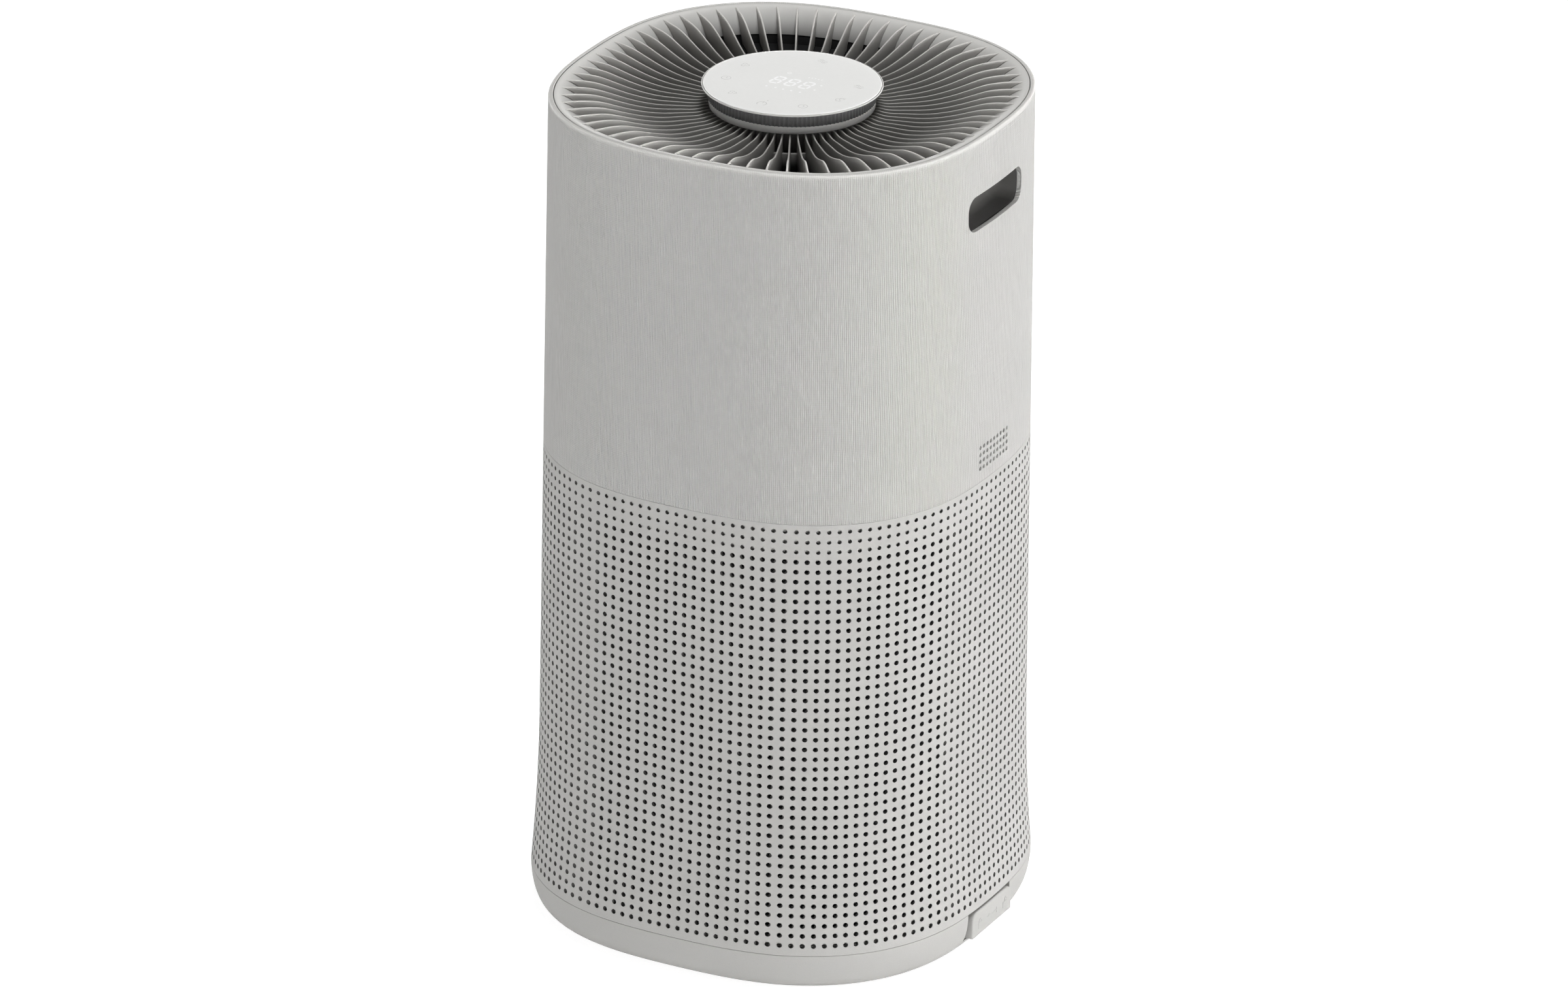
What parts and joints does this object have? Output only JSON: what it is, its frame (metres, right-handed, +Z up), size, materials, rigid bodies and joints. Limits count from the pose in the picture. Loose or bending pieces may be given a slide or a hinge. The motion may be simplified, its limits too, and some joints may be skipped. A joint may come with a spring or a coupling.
{
  "type": "air purifier",
  "caption": "Free-standing rounded-square air purifier: perforated intake shell over a round filter, linen-textured upper shell, finned top outlet and round touch display.",
  "frame": {"origin": "on the floor under the middle of the tower", "axes": "+Z up; the display reads towards -Y, the front; the lock and the air sensor are on the +X side"},
  "size_m": [0.3002, 0.2986, 0.545],
  "materials": {
    "shell_plastic": "fine matte moulded plastic",
    "linen_plastic": "linen-textured moulded plastic",
    "rim_plastic": "smooth satin plastic",
    "fin_plastic": "satin plastic",
    "display_gloss": "smooth, faintly glossy",
    "bezel_plastic": "satin plastic",
    "band_plastic": "smoked light guide, ribbed",
    "black_plastic": "matte black plastic",
    "pocket_plastic": "charcoal satin plastic",
    "wheel_plastic": "matte plastic",
    "rubber": "matte",
    "foam": "closed-cell foam",
    "filter_fabric": "pleated glass-fibre paper",
    "mesh_fabric": "fine woven mesh",
    "carbon_fabric": "activated carbon granules on fleece",
    "cap_plastic": "matte plastic",
    "steel": "zinc-plated or ground steel",
    "copper_winding": "enamelled copper on laminations",
    "magnet": "sintered magnet ring",
    "circuit_board": "solder mask",
    "component_plastic": "moulded electronic parts"
  },
  "bodies": {
    "base": {"base_tray": "shell_plastic", "rubber_feet": "rubber", "lock_spring": "steel", "filter_lower_cap": "cap_plastic", "prefilter_sleeve": "mesh_fabric", "filter_pleats": "filter_fabric", "carbon_layer": "carbon_fabric", "filter_core": "cap_plastic", "filter_upper_cap": "cap_plastic", "filter_gasket": "foam"},
    "housing": {"intake_shell": "shell_plastic", "mid_frame": "shell_plastic", "upper_shell": "linen_plastic", "grip_pocket_right": "pocket_plastic", "grip_pocket_left": "pocket_plastic", "air_sensor": "black_plastic", "power_socket": "black_plastic", "socket_pins": "steel", "power_board": "circuit_board", "board_components": "component_plastic", "fan_deck": "black_plastic", "deck_screws": "steel", "fan_duct": "black_plastic", "motor_case": "steel", "motor_stator": "copper_winding", "motor_bearings": "steel", "motor_dampers": "rubber", "diffuser": "black_plastic", "motor_screws": "steel", "motor_cover": "black_plastic", "top_rim": "rim_plastic", "outlet_fins": "fin_plastic", "hub_collar": "rim_plastic", "light_band": "band_plastic", "display_bezel": "bezel_plastic", "display_disc": "display_gloss", "touch_board": "circuit_board", "display_leds": "component_plastic"},
    "fan": {"fan_wheel": "wheel_plastic", "motor_shaft": "steel", "wheel_nut": "steel", "motor_rotor": "magnet"},
    "lever": {"lock_lever": "shell_plastic"}
  },
  "joints": [
    {"name": "housing_lift", "type": "slide", "parent": "base", "child": "housing", "axis": [0, 0, 1], "range_m": [0, 0.3]},
    {"name": "fan_spin", "type": "hinge", "parent": "housing", "child": "fan", "pos_m": [0, 0, 0.4], "axis": [0, 0, 1], "continuous": true},
    {"name": "lock_slide", "type": "slide", "parent": "base", "child": "lever", "axis": [0, 1, 0], "range_m": [-0.0026, 0]}
  ]
}
